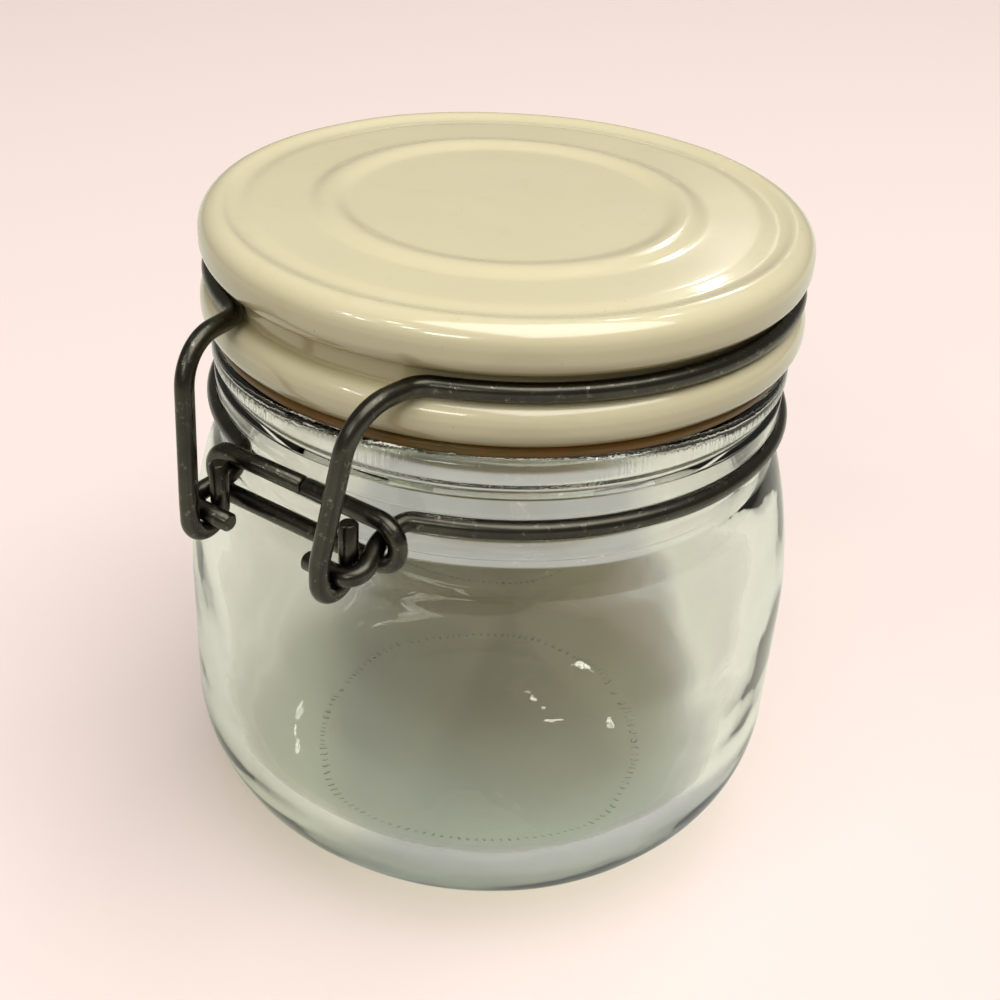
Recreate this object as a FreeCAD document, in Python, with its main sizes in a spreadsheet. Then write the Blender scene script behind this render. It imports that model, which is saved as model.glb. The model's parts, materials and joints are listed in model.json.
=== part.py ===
"""Clip-top storage jar: a glass jar with a glazed lid, a rubber ring and a squeeze-to-open wire clip.

Millimetres, +Z up. The jar stands on Z = 0 with its axis on Z. The clip is at the front (-Y), the hinge at
the back (+Y). The lid turns on the straight back bar of its own wire, which runs through two loops of the
neck wire.
"""
import FreeCAD, Part
import math
import os
import re

import Sketcher

from FreeCAD import Placement, Rotation, Vector

doc = FreeCAD.newDocument("clip_top_jar")

# ---------------------------------------------------------------- driving sizes
SIZES = [
    ("lidRadius", 50.0, "top flange of the lid"),
    ("lidOverhang", 1.2, "how far the lid stands out past the glass finish"),
    ("rimHeight", 94.6, "top of the glass rim above the table"),
    ("runGap", 0.2, "clearance between pieces that move or slide past each other"),
    ("bodyBulge", 5.6, "how far the body stands out past the glass finish"),
    ("wall", 6.0, "glass wall of the body"),
    ("floorThick", 6.5, "glass under the cavity"),
    ("heelRound", 24.0, "outer radius of the heel, in section"),
    ("pushUp", 1.6, "rise of the dished underside"),
    ("pushUpRadius", 24.0, "dished part of the underside"),
    ("floorRise", 0.8, "middle of the cavity's floor above its edge"),
    ("finishWall", 5.6, "glass wall of the mouth"),
    ("beadDrop", 5.4, "height of the sealing bead"),
    ("beadRound", 2.4, "rounding of the sealing bead"),
    ("mouthRound", 0.9, "rounding of the mouth's inner edge"),
    ("creaseDepth", 1.3, "crease between bead and upper collar"),
    ("creaseHeight", 0.5, "height of the crease"),
    ("collarTop", 6.4, "upper collar starts this far below the rim"),
    ("wireSeat", 11.6, "neck wire's centre below the rim"),
    ("seatDepth", 1.9, "depth of the neck wire's groove"),
    ("collarLip", 4.0, "height of the lower collar"),
    ("collarInset", 0.25, "collars are this much slimmer than the bead"),
    ("collarRound", 0.6, "rounding of the collars' edges"),
    ("neckFoot", 18.6, "foot of the neck below the rim"),
    ("neckInset", 0.5, "neck foot is this much slimmer than the bead"),
    ("neckFillet", 1.2, "fillet at the foot of the neck"),
    ("shoulderDrop", 4.5, "height of the steep upper shoulder"),
    ("shoulderStep", 2.2, "how far the steep upper shoulder falls outward"),
    ("shoulderRound", 15.0, "rounding of the steep upper shoulder, in section"),
    ("shoulderFall", 25.5, "height of the long lower shoulder"),
    ("gasketThick", 1.8, "rubber ring, squeezed"),
    ("gasketInset", 0.3, "rubber ring's edge inside the bead's edge"),
    ("gasketPlay", 0.4, "play between the rubber ring and the lid's plug"),
    ("gasketEdge", 0.8, "rounding of the rubber ring's outer edges"),
    ("plugGap", 2.6, "play between the lid's plug and the mouth"),
    ("plugDrop", 5.4, "plug below the lid's lower flange"),
    ("plugWall", 4.6, "wall of the plug"),
    ("plugRound", 1.6, "rounding of the plug's edges"),
    ("hollowRound", 5.0, "rounding of the hollow's ceiling"),
    ("lidHollow", 12.4, "hollow of the lid above its lower flange's underside"),
    ("lowerFlange", 7.3, "thickness of the lower flange"),
    ("lowerOverhang", 0.2, "lower flange beyond the top flange"),
    ("lidGroove", 3.4, "depth of the groove between the flanges"),
    ("grooveHeight", 3.8, "height of the groove between the flanges"),
    ("rimRound", 4.15, "half the thickness of the top flange"),
    ("crestInset", 3.0, "crest of the rim inside the top flange's edge"),
    ("crestRound", 1.4, "rounding of the crest"),
    ("crestWidth", 1.1, "rounded crest across"),
    ("crestFall", 0.15, "inner edge of the crest below its outer edge"),
    ("channelRound", 4.4, "rounding of the channel inside the crest"),
    ("channelWidth", 3.5, "channel across"),
    ("channelFall", 0.4, "inner edge of the channel below the crest"),
    ("fieldRound", 4.0, "rounding of the flat field's edge"),
    ("fieldEdge", 1.15, "rounded edge of the field across"),
    ("fieldLift", 0.17, "field above the inner edge of the channel"),
    ("ridgeRadius", 29.0, "middle of the raised ring on the lid"),
    ("ridgeWidth", 6.4, "width of the raised ring"),
    ("ridgeRise", 0.8, "height of the raised ring above the field"),
    ("wire", 3.0, "diameter of all the wires"),
    ("pinReach", 8.2, "clip pins beyond the lid's edge"),
    ("pinDrop", 16.1, "clip pins below the rim"),
    ("pinSplay", 2.7, "bend of a clip pin further out than its crank"),
    ("pinLength", 10.0, "clip pin from its bend to its inner end"),
    ("hookPlay", 0.1, "play between a hook and a crank, besides half again the wire"),
    ("hookTip", 7.1, "free end of a hook above the pin"),
    ("armSplay", 3.0, "top of a clip arm further out than its hook"),
    ("armLean", 0.4, "how far a clip arm leans in towards its top"),
    ("armRound", 8.0, "bend at the top of a clip arm"),
    ("armElbow", 9.0, "bend where a clip arm starts to lean"),
    ("pinBend", 2.6, "bend between a clip pin and its crank"),
    ("crankBend", 4.5, "bend of a crank inside the link"),
    ("leadBend", 3.3, "bends where the neck wire leaves its groove"),
    ("lidLeadBend", 4.2, "bends where a clip arm leaves the lid's groove"),
    ("eyeBend", 2.55, "bends either side of a hinge loop"),
    ("legBend", 3.9, "bend at the top of an upright of the lid wire's back"),
    ("barBend", 3.0, "bend at the ends of the hinge bar"),
    ("neckSplay", 2.761, "where the neck wire leaves its groove at the front, beyond the link's half"),
    ("neckBack", 14.18, "where the neck wire leaves its groove at the back, from the middle"),
    ("neckLead", 5.5, "straight lead from the neck wire's groove"),
    ("lidSplay", 3.3823, "where the lid wire leaves its groove at the front, beyond the link's half"),
    ("lidBack", 19.6047, "where the lid wire leaves its groove at the back, from the middle"),
    ("lidLead", 5.2, "straight lead from the lid's groove"),
    ("linkHalf", 18.5, "half the length of the closed link, on its centre line"),
    ("linkPlay", 0.25, "half the room for a slanted crank between the closed link's sides"),
    ("linkDrop", 13.7, "middle of the closed link below the rim"),
    ("linkGap", 0.1, "gap between the finish and the closed link"),
    ("crankPlay", 0.6, "play between a crank and the link's end"),
    ("buttGap", 0.25, "gap where the link's wire ends meet"),
    ("buttOffset", 0.4, "that gap from the middle"),
    ("barGap", 0.6, "gap between the finish and the neck wire's back bar"),
    ("eyeOffset", 9.0, "hinge loop of the neck wire from the middle"),
    ("legOffset", 14.8, "upright of the lid wire's back from the middle"),
    ("endBevel", 0.35, "bevel on the cut ends of the wires"),
]
sizes = doc.addObject("Spreadsheet::Sheet", "sizes")
for row, (alias, value, note) in enumerate(SIZES, start=1):
    sizes.set(f"A{row}", note)
    sizes.set(f"B{row}", str(value))
    sizes.setAlias(f"B{row}", alias)
doc.recompute()
ALIASES = {alias for alias, value, note in SIZES}


def bound(text):
    """A formula in plain size names, written for the document's expression engine."""
    return re.sub(r"[A-Za-z]\w*", lambda word: "sizes." + word[0] if word[0] in ALIASES else word[0], text)


def size(text):
    """The present value of a formula in plain size names."""
    return float(sizes.evalExpression(text))


# ---------------------------------------------------------------- shared places, as formulas
FINISH = "(lidRadius - lidOverhang)"
MOUTH = f"({FINISH} - finishWall)"
BODY = f"({FINISH} + bodyBulge)"
NECK = f"({FINISH} - neckInset)"
SEAT = f"({FINISH} - seatDepth)"
SEAT_Z = "(rimHeight - wireSeat)"
FOOT_Z = "(rimHeight - neckFoot)"
FLANGE_Z = "(rimHeight + runGap + gasketThick)"
GROOVE_Z = f"({FLANGE_Z} + lowerFlange)"
TOP_FLANGE_Z = f"({GROOVE_Z} + grooveHeight)"
RIM_Z = f"({TOP_FLANGE_Z} + rimRound)"
CREST_Z = f"({RIM_Z} + sqrt(rimRound^2 - (rimRound - crestInset)^2))"
LINK = f"({FINISH} + linkGap + wire / 2)"
CRANK_X = "(linkHalf - wire - crankPlay)"
PIN_X = f"({CRANK_X} + pinSplay)"
PLUG = f"({MOUTH} - plugGap)"
HOLLOW = f"({PLUG} - plugWall)"


# ---------------------------------------------------------------- revolved pieces
def profile(body, name, outline):
    """A closed half section in the XZ plane.

    Each corner is (radius, height) or (radius, height, bend, side): a bend makes the edge to the next corner
    an arc of that radius, and side is +1 where it bulges to the right of the way round, -1 to the left.
    """
    sketch = body.newObject("Sketcher::SketchObject", name)
    plane = next(f for f in body.Origin.OriginFeatures if f.Role == "XZ_Plane")
    sketch.AttachmentSupport = [(plane, "")]
    sketch.MapMode = "FlatFace"
    spots = [Vector(size(corner[0]), size(corner[1]), 0) for corner in outline]
    ends = []
    for i, corner in enumerate(outline):
        a, b = spots[i], spots[(i + 1) % len(spots)]
        if len(corner) == 2:
            sketch.addGeometry(Part.LineSegment(a, b), False)
            ends.append((1, 2))
            continue
        bend, side = size(corner[2]), corner[3]
        chord = b - a
        right = Vector(chord.y, -chord.x, 0).normalize()
        back = math.sqrt(max(bend ** 2 - (chord.Length / 2) ** 2, 0))
        middle = (a + b) / 2 - right * side * back
        start, stop = (math.atan2(p.y - middle.y, p.x - middle.x) for p in (a, b))
        forward = side > 0
        circle = Part.Circle(middle, Vector(0, 0, 1), bend)
        sketch.addGeometry(Part.ArcOfCircle(circle, *((start, stop) if forward else (stop, start))), False)
        ends.append((1, 2) if forward else (2, 1))
    for i, corner in enumerate(outline):
        near = ends[i][0]
        before = (i - 1) % len(outline)
        sketch.addConstraint(Sketcher.Constraint("Coincident", before, ends[before][1], i, near))
        across = ("DistanceX", -2, corner[0], spots[i].x)
        up = ("DistanceY", -1, corner[1], spots[i].y)
        for kind, axis, text, spot in (across, up):
            if abs(spot) < 1e-9:
                sketch.addConstraint(Sketcher.Constraint("PointOnObject", i, near, axis))
                continue
            index = sketch.addConstraint(Sketcher.Constraint(kind, -1, 1, i, near, spot))
            sketch.setExpression(f"Constraints[{index}]", bound(text))
        if len(corner) > 2:
            index = sketch.addConstraint(Sketcher.Constraint("Radius", i, size(corner[2])))
            sketch.setExpression(f"Constraints[{index}]", bound(corner[2]))
    return sketch


def turned(label, outline):
    """A body made by turning one half section about Z."""
    body = doc.addObject("PartDesign::Body", label)
    body.Label = label
    sketch = profile(body, label + "_section", outline)
    turn = body.newObject("PartDesign::Revolution", label + "_turn")
    turn.Profile = sketch
    turn.ReferenceAxis = (sketch, ["V_Axis"])
    turn.Angle = 360
    doc.recompute()
    return body


def tangent_bend(rise, fall):
    """Radius of an arc that starts upright and falls back by `fall` over `rise`."""
    return f"((({rise})^2 + ({fall})^2) / (2 * ({fall})))"


def jar_glass():
    """The jar, from the dished underside up the outside, over the rim and down the inside."""
    heel_foot = f"({BODY} - heelRound)"
    knee = f"({NECK} + shoulderStep)"
    knee_z = f"({FOOT_Z} - shoulderDrop)"
    shoulder_z = f"({knee_z} - shoulderFall)"
    flare = f"({BODY} - {knee})"
    shoulder = tangent_bend("shoulderFall", flare)
    inner_shoulder = f"({shoulder} - wall)"
    inner_knee = f"({BODY} - {shoulder} + ({shoulder} - {flare}) * {inner_shoulder} / {shoulder})"
    inner_knee_z = f"({shoulder_z} + shoulderFall * {inner_shoulder} / {shoulder})"
    throat = f"(({inner_knee} - {MOUTH}) * {shoulder} / {flare})"
    collar = f"({FINISH} - collarInset)"
    collar_foot = f"({SEAT_Z} - wire / 2 - runGap)"
    collar_head = f"({SEAT_Z} + wire / 2 + runGap)"
    crease = f"({FINISH} - creaseDepth)"
    crease_z = "(rimHeight - beadDrop)"
    bead_rise = "(beadDrop - beadRound - creaseHeight / 2)"
    return turned("jar_glass", [
        ("0", "pushUp", tangent_bend("pushUpRadius", "pushUp"), -1),
        ("pushUpRadius", "0"),
        (heel_foot, "0", "heelRound", 1),
        (BODY, "heelRound"),
        (BODY, shoulder_z, shoulder, 1),
        (knee, knee_z, "shoulderRound", 1),
        (f"{NECK} + neckFillet / 6", f"{FOOT_Z} - neckFillet / 3", "neckFillet", -1),
        (NECK, f"{FOOT_Z} + neckFillet / 4"),
        (NECK, f"{collar_foot} - collarLip"),
        (collar, f"{collar_foot} - collarLip + collarInset"),
        (collar, f"{collar_foot} - collarRound", "collarRound", 1),
        (f"{collar} - collarRound", collar_foot),
        (SEAT, collar_foot),
        (SEAT, collar_head),
        (f"{collar} - collarRound", collar_head, "collarRound", 1),
        (collar, f"{collar_head} + collarRound"),
        (collar, "rimHeight - collarTop - collarRound", "collarRound", 1),
        (f"{collar} - collarRound", "rimHeight - collarTop"),
        (crease, f"{crease_z} - creaseHeight / 2", "creaseHeight", -1),
        (crease, f"{crease_z} + creaseHeight / 2", tangent_bend(bead_rise, "creaseDepth"), 1),
        (FINISH, "rimHeight - beadRound", "beadRound", 1),
        (f"{FINISH} - beadRound", "rimHeight"),
        (f"{MOUTH} + mouthRound", "rimHeight", "mouthRound", 1),
        (MOUTH, "rimHeight - mouthRound"),
        (MOUTH, f"{inner_knee_z} + {throat} * shoulderFall / {shoulder}", throat, 1),
        (inner_knee, inner_knee_z, inner_shoulder, -1),
        (f"{BODY} - wall", shoulder_z),
        (f"{BODY} - wall", "floorThick + heelRound - wall", "heelRound - wall", -1),
        (heel_foot, "floorThick", tangent_bend(heel_foot, "floorRise"), 1),
        ("0", "floorThick + floorRise"),
    ])


def lid():
    """The lid: two flanges with the wire's groove between, a plug that enters the mouth, hollow below."""
    groove = "(lidRadius - lidGroove)"
    ceiling_z = f"({FLANGE_Z} + lidHollow)"
    plug_z = f"({FLANGE_Z} - plugDrop)"
    lower = "(lidRadius + lowerOverhang)"
    lower_round = "(lowerFlange / 2)"
    crest = "(lidRadius - crestInset)"
    crest_in = f"({crest} - crestWidth)"
    channel_in = f"({crest_in} - channelWidth)"
    channel_z = f"({CREST_Z} - crestFall - channelFall)"
    field_z = f"({channel_z} + fieldLift)"
    ridge_bend = tangent_bend("ridgeWidth / 4", "ridgeRise / 2")
    return turned("lid", [
        ("0", ceiling_z),
        (f"{HOLLOW} - hollowRound", ceiling_z, "hollowRound", -1),
        (HOLLOW, f"{ceiling_z} - hollowRound"),
        (HOLLOW, f"{plug_z} + plugRound", "plugRound", 1),
        (f"{HOLLOW} + plugRound", plug_z),
        (f"{PLUG} - plugRound", plug_z, "plugRound", 1),
        (PLUG, f"{plug_z} + plugRound"),
        (PLUG, FLANGE_Z),
        (f"{lower} - {lower_round}", FLANGE_Z, lower_round, 1),
        (lower, f"{FLANGE_Z} + {lower_round}", lower_round, 1),
        (f"{lower} - {lower_round}", GROOVE_Z),
        (groove, GROOVE_Z),
        (groove, TOP_FLANGE_Z),
        ("lidRadius - rimRound", TOP_FLANGE_Z, "rimRound", 1),
        ("lidRadius", RIM_Z, "rimRound", 1),
        (crest, CREST_Z, "crestRound", 1),
        (crest_in, f"{CREST_Z} - crestFall", "channelRound", -1),
        (channel_in, channel_z, "fieldRound", 1),
        (f"{channel_in} - fieldEdge", field_z),
        ("ridgeRadius + ridgeWidth / 2", field_z, ridge_bend, -1),
        ("ridgeRadius + ridgeWidth / 4", f"{field_z} + ridgeRise / 2", ridge_bend, 1),
        ("ridgeRadius - ridgeWidth / 4", f"{field_z} + ridgeRise / 2", ridge_bend, -1),
        ("ridgeRadius - ridgeWidth / 2", field_z),
        ("0", field_z),
    ])


def gasket():
    """The rubber ring, lying on the rim round the plug."""
    inner = f"({PLUG} + gasketPlay)"
    outer = f"({FINISH} - gasketInset)"
    low = "(rimHeight + runGap)"
    top = f"({low} + gasketThick)"
    return turned("gasket", [
        (inner, low),
        (f"{outer} - gasketEdge", low, "gasketEdge", 1),
        (outer, f"{low} + gasketEdge"),
        (outer, f"{top} - gasketEdge", "gasketEdge", 1),
        (f"{outer} - gasketEdge", top),
        (inner, top),
    ])


# ---------------------------------------------------------------- bent wires
def run(corners):
    """Straight runs joined by tangent arcs: corners are (point, bend radius), the ends having none."""
    points = [point for point, bend in corners]
    edges, here = [], points[0]
    for i in range(1, len(points) - 1):
        into = (points[i] - points[i - 1]).normalize()
        out = (points[i + 1] - points[i]).normalize()
        half = into.getAngle(out) / 2
        bend = corners[i][1]
        start = points[i] - into * bend * math.tan(half)
        stop = points[i] + out * bend * math.tan(half)
        inward = (out - into).normalize()
        middle = points[i] + inward * (bend / math.cos(half) - bend)
        if start.distanceToPoint(here) > 1e-6:
            edges.append(Part.makeLine(here, start))
        edges.append(Part.Arc(start, middle, stop).toShape())
        here = stop
    if points[-1].distanceToPoint(here) > 1e-6:
        edges.append(Part.makeLine(here, points[-1]))
    return edges


def ring_spot(radius, z, angle):
    """The point of a ring at an angle from the back, and the way round from there towards the back."""
    spot = Vector(radius * math.sin(angle), radius * math.cos(angle), z)
    return spot, Vector(-math.cos(angle), math.sin(angle), 0)


def ring_arc(radius, z, front, back):
    """The ring's right side, from its front end to its back end."""
    spots = [ring_spot(radius, z, angle)[0] for angle in (front, (front + back) / 2, back)]
    return Part.Arc(*spots).toShape()


def mirrored(edges):
    """The other half of a wire: the same edges on the far side, in one continuing order."""
    return [mirror_edge(edge) for edge in reversed(edges)]


def mirror_edge(edge):
    """One line or arc on the far side of X = 0."""
    spots = [edge.valueAt(edge.FirstParameter + (edge.LastParameter - edge.FirstParameter) * share)
             for share in (1, 0.5, 0)]
    spots = [Vector(-spot.x, spot.y, spot.z) for spot in spots]
    if isinstance(edge.Curve, (Part.Line, Part.LineSegment)):
        return Part.makeLine(spots[0], spots[2])
    return Part.Arc(*spots).toShape()


def drawn(label, edges):
    """A round wire along a path, with its cut ends bevelled."""
    path = doc.addObject("Part::Feature", label + "_path")
    path.Shape = Part.Wire(Part.__sortEdges__(edges))
    first = path.Shape.OrderedEdges[0]
    start = path.Shape.OrderedVertexes[0].Point
    section = doc.addObject("Part::Circle", label + "_section")
    section.setExpression("Radius", "sizes.wire / 2")
    section.Placement = Placement(start, Rotation(Vector(0, 0, 1), first.tangentAt(first.FirstParameter)))
    doc.recompute()
    sweep = doc.addObject("Part::Sweep", label + "_sweep")
    sweep.Sections = [section]
    sweep.Spine = (path, [f"Edge{i + 1}" for i in range(len(path.Shape.Edges))])
    sweep.Solid = True
    sweep.Frenet = False
    doc.recompute()
    ends = [face for face in sweep.Shape.Faces if isinstance(face.Surface, Part.Plane)]
    rims = [i for i, edge in enumerate(sweep.Shape.Edges, start=1)
            if any(edge.isSame(rim) for face in ends for rim in face.Edges)]
    bevel = doc.addObject("Part::Chamfer", label)
    bevel.Label = label
    bevel.Base = sweep
    bevel.Edges = [(i, size("endBevel"), size("endBevel")) for i in rims]
    doc.recompute()
    expected = path.Shape.Length * math.pi * size("wire") ** 2 / 4
    print(f"{label}: {path.Shape.Length:.1f} mm of wire, {len(rims)} ends, volume {bevel.Shape.Volume:.1f}, "
          f"a plain rod of that length {expected:.1f}")
    return bevel


def latch_line():
    """Where the clip pins lie: how far out, and how high."""
    return size("lidRadius + pinReach"), size("rimHeight - pinDrop")


def hinge_line():
    """The lid's axis, as far out as the clip pins and one loop above the neck wire, and the loop's radius."""
    eye = size("wire + runGap")
    return latch_line()[0], size(SEAT_Z) + eye, eye


def towards_middle(spot, forward, x):
    """The point at a given X on the line that leaves a ring."""
    return spot + forward * ((x - spot.x) / forward.x)


def neck_wire():
    """One wire: pin, crank, half ring, hinge loop, bar, hinge loop, half ring, crank, pin."""
    ring, ring_z = size(f"{SEAT} + wire / 2 + runGap / 2"), size(SEAT_Z)
    front, back = math.pi - math.asin(size("linkHalf + neckSplay") / ring), math.asin(size("neckBack") / ring)
    leave, forward = ring_spot(ring, ring_z, front)
    leave_back, backward = ring_spot(ring, ring_z, back)
    pin_y, pin_z = latch_line()
    crank = [
        (Vector(size(f"{PIN_X} - pinLength"), -pin_y, pin_z), 0),
        (Vector(size(PIN_X), -pin_y, pin_z), size("pinBend")),
        (Vector(size(CRANK_X), -size(LINK), size("rimHeight - linkDrop")), size("crankBend")),
        (leave - forward * size("neckLead"), size("leadBend")),
        (leave, 0),
    ]
    hinge_y, hinge_z, eye = hinge_line()
    eye_x = size("eyeOffset")
    bar_y = size(f"{FINISH} + barGap + wire / 2")
    loop = [
        (leave_back, 0),
        (towards_middle(leave_back, backward, eye_x), size("eyeBend")),
        (Vector(eye_x, hinge_y + eye, hinge_z - eye), eye),
        (Vector(eye_x, hinge_y + eye, hinge_z + eye), eye),
        (Vector(eye_x, bar_y, hinge_z + eye), size("eyeBend")),
        (Vector(0, bar_y, hinge_z + eye), 0),
    ]
    half = run(crank) + [ring_arc(ring, ring_z, front, back)] + run(loop)
    return drawn("neck_wire", half + mirrored(half))


def lid_wire():
    """One wire: hook, clip arm, half ring in the lid's groove, hinge bar, and the same again."""
    ring = size("lidRadius - lidGroove + wire / 2 + runGap / 2")
    ring_z = size(f"{GROOVE_Z} + wire / 2 + runGap / 2")
    front, back = math.pi - math.asin(size("linkHalf + lidSplay") / ring), math.asin(size("lidBack") / ring)
    leave, forward = ring_spot(ring, ring_z, front)
    leave_back, backward = ring_spot(ring, ring_z, back)
    pin_y, pin_z = latch_line()
    hook, hook_x = size("wire + runGap"), size(f"{PIN_X} - 1.5 * wire - hookPlay")
    arm = [
        (Vector(hook_x, hook - pin_y, pin_z + size("hookTip")), 0),
        (Vector(hook_x, hook - pin_y, pin_z - hook), hook),
        (Vector(hook_x, -hook - pin_y, pin_z - hook), hook),
        (Vector(hook_x, -hook - pin_y, pin_z + size("wire")), size("armElbow")),
        (Vector(hook_x + size("armSplay"), size("armLean") - pin_y, ring_z), size("armRound")),
        (leave - forward * size("lidLead"), size("lidLeadBend")),
        (leave, 0),
    ]
    hinge_y, hinge_z, _ = hinge_line()
    leg_x = size("legOffset")
    bar = [
        (leave_back, 0),
        (towards_middle(leave_back, backward, leg_x), size("leadBend")),
        (Vector(leg_x, hinge_y, ring_z), size("legBend")),
        (Vector(leg_x, hinge_y, hinge_z), size("barBend")),
        (Vector(0, hinge_y, hinge_z), 0),
    ]
    half = run(arm) + [ring_arc(ring, ring_z, front, back)] + run(bar)
    return drawn("lid_wire", half + mirrored(half))


def clip_link():
    """The closed link that holds the neck wire's two cranks together, its wire ends butted."""
    half_x, half_z = size("linkHalf"), size("1.15 * wire + linkPlay")
    middle = size("rimHeight - linkDrop")
    right, left = size("buttOffset + buttGap / 2"), size("buttOffset - buttGap / 2")
    corners = [(right, 1), (half_x, 1), (half_x, -1), (-half_x, -1), (-half_x, 1), (left, 1)]
    return drawn("clip_link", run([
        (Vector(x, -size(LINK), middle + side * half_z), half_z) for x, side in corners
    ]))


# ---------------------------------------------------------------- build, check and write
pieces = [jar_glass(), lid(), gasket(), neck_wire(), lid_wire(), clip_link()]
doc.recompute()
for item in doc.Objects:
    if {"Invalid", "Error"} & set(item.State):
        raise RuntimeError(f"{item.Label} failed: {item.State}")
for piece in pieces:
    if piece.Shape.isNull() or not piece.Shape.isValid() or len(piece.Shape.Solids) != 1:
        raise RuntimeError(f"{piece.Label} has no single valid solid")
os.makedirs("parts", exist_ok=True)
for piece in pieces:
    piece.Shape.exportStep(f"parts/{piece.Label}.step")
    box = piece.Shape.optimalBoundingBox(False)
    print(f"{piece.Label}: {piece.Shape.Volume / 1000:.2f} cm3, x {box.XMin:.1f} to {box.XMax:.1f}, "
          f"y {box.YMin:.1f} to {box.YMax:.1f}, z {box.ZMin:.1f} to {box.ZMax:.1f}")
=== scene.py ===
# A round glass jar with a glazed lid, a rubber ring and a squeeze clip of dark wire, on a pale floor.
import json
import math

import bpy
from mathutils import Matrix, Vector, noise


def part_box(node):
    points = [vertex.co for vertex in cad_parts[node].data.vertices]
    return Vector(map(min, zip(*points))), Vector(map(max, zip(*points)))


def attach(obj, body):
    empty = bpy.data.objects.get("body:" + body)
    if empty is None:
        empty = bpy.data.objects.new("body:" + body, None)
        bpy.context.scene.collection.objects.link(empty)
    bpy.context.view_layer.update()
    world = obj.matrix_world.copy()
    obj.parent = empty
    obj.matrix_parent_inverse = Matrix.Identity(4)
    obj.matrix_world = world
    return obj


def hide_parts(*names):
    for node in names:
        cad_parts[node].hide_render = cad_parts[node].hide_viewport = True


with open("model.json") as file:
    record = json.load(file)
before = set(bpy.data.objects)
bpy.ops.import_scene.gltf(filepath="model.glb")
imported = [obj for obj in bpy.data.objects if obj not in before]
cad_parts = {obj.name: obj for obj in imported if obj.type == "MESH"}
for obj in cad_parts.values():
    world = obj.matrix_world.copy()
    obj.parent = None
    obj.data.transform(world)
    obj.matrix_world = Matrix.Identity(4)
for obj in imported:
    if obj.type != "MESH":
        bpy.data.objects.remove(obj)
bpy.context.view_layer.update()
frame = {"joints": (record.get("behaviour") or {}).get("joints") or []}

mm = 0.001
hinge = Vector(frame["joints"][0]["pos_m"]) / mm        # the lid turns about this line, along X
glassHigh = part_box("jar_glass")[1] / mm
lidLow, lidHigh = (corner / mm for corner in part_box("lid"))
ringLow, ringHigh = (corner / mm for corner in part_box("gasket"))
bodyRadius, rimHeight = glassHigh.x, glassHigh.z


# Outlines and turned pieces
def roundedOutline(corners, closed=False, longest=1.6, turnStep=0.11):
    # corners are (radius, height, rounding) in mm; every rounding becomes a tangent arc
    spots = [Vector(corner[:2]) for corner in corners]
    bends = [corner[2] if len(corner) > 2 else 0 for corner in corners]
    last = len(spots) - 1
    points = []
    for i, (spot, bend) in enumerate(zip(spots, bends)):
        if bend == 0 or (not closed and i in (0, last)):
            points.append(spot)
            continue
        into = (spot - spots[i - 1]).normalized()
        out = (spots[(i + 1) % len(spots)] - spot).normalized()
        turn = into.cross(out)
        angle = math.acos(max(-1, min(1, into.dot(out))))
        side = Vector((-into.y, into.x)) * math.copysign(1, turn)
        start = spot - into * bend * math.tan(angle / 2)
        centre = start + side * bend
        steps = max(2, math.ceil(angle / turnStep), math.ceil(angle * bend / longest))
        for step in range(steps + 1):
            share = angle * step / steps
            points.append(centre - side * bend * math.cos(share) + into * bend * math.sin(share))
    fine = []
    ends = points[1:] + (points[:1] if closed else [])
    for a, b in zip(points, ends):
        pieces = max(1, math.ceil((b - a).length / longest))
        fine += [a.lerp(b, n / pieces) for n in range(pieces)]
    if not closed:
        fine.append(points[-1])
    return [p for p, q in zip(fine, fine[1:] + [None]) if q is None or (q - p).length > 1e-4]


def turned(name, outline, around, unevenness, closed=False):
    # turns an outline about Z; unevenness(radius, angle, height) gives each point's shift, outward and up
    verts, faces, rows = [], [], []
    for spot in outline:
        radius, height = spot
        if radius < 1e-6:
            rows.append([len(verts)] * around)
            verts.append((0, 0, height * mm))
            continue
        rows.append(list(range(len(verts), len(verts) + around)))
        for n in range(around):
            angle = 2 * math.pi * n / around
            out, up = unevenness(radius, angle, height)
            r = (radius + out) * mm
            verts.append((r * math.sin(angle), -r * math.cos(angle), (height + up) * mm))
    pairs = zip(rows, rows[1:] + ([rows[0]] if closed else []))
    for low, high in pairs:
        for n in range(around):
            m = (n + 1) % around
            corners = [low[n], low[m], high[m], high[n]]
            corners = [c for k, c in enumerate(corners) if c not in corners[:k]]
            if len(corners) > 2:
                faces.append(corners)
    mesh = bpy.data.meshes.new(name)
    mesh.from_pydata(verts, [], faces)
    mesh.polygons.foreach_set("use_smooth", [True] * len(mesh.polygons))
    mesh.update()
    piece = bpy.data.objects.new(name, mesh)
    bpy.context.scene.collection.objects.link(piece)
    return piece


def ripple(seed, x, y, z):      # smooth noise between -1 and 1
    return noise.noise(Vector((x, y, z)) + Vector((seed, seed * 1.7, seed * 0.6)))


def rippleRound(pattern, angle, height):    # the same round a piece; pattern is (seed, lumps, lump height)
    seed, lumps, rise = pattern
    return ripple(seed, math.sin(angle) * lumps, math.cos(angle) * lumps, height / rise)


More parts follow.
